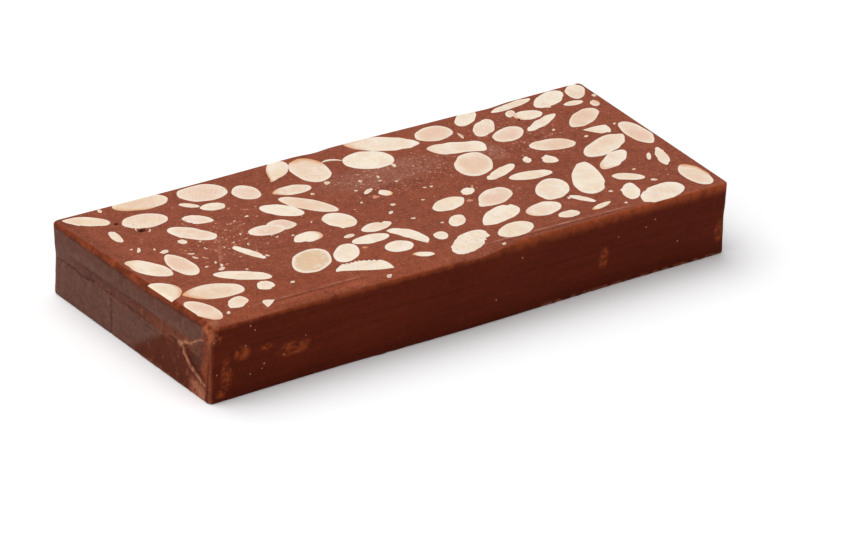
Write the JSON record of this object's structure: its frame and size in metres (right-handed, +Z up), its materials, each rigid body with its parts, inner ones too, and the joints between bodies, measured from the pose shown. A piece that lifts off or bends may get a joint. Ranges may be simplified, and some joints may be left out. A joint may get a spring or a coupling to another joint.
{
  "type": "chocolate turron",
  "caption": "Bar of chocolate almond turron, sliced flat on top so that pale cut almonds show, with folded-paper marks on one end.",
  "frame": {"origin": "middle of the base, under the centre of the bar's bounding box", "axes": "+X along the bar, away from the end with the paper folds; +Y across it, from the long side the picture shows; +Z up, out of the cut top"},
  "size_m": [0.2044, 0.083, 0.0252],
  "materials": {
    "chocolate": "milk chocolate: satin on the moulded sides, matte with fine knife marks on the cut top",
    "almond": "cut face of a toasted peeled almond, cream and matte"
  },
  "bodies": {
    "root": {"chocolate": "chocolate", "almond_01": "almond", "almond_02": "almond", "almond_03": "almond", "almond_04": "almond", "almond_05": "almond", "almond_06": "almond", "almond_07": "almond", "almond_08": "almond", "almond_09": "almond", "almond_10": "almond", "almond_11": "almond", "almond_12": "almond", "almond_13": "almond", "almond_14": "almond", "almond_15": "almond", "almond_16": "almond", "almond_17": "almond", "almond_18": "almond", "almond_19": "almond", "almond_20": "almond", "almond_21": "almond", "almond_22": "almond", "almond_23": "almond", "almond_24": "almond", "almond_25": "almond", "almond_26": "almond", "almond_27": "almond", "almond_28": "almond", "almond_29": "almond", "almond_30": "almond", "almond_31": "almond", "almond_32": "almond", "almond_33": "almond", "almond_34": "almond", "almond_35": "almond", "almond_36": "almond", "almond_37": "almond", "almond_38": "almond", "almond_39": "almond", "almond_40": "almond", "almond_41": "almond", "almond_42": "almond", "almond_43": "almond", "almond_44": "almond", "almond_45": "almond", "almond_46": "almond", "almond_47": "almond", "almond_48": "almond", "almond_49": "almond", "almond_50": "almond", "almond_51": "almond", "almond_52": "almond", "almond_53": "almond", "almond_54": "almond", "almond_55": "almond", "almond_56": "almond", "almond_57": "almond", "almond_58": "almond", "almond_59": "almond"}
  },
  "joints": []
}
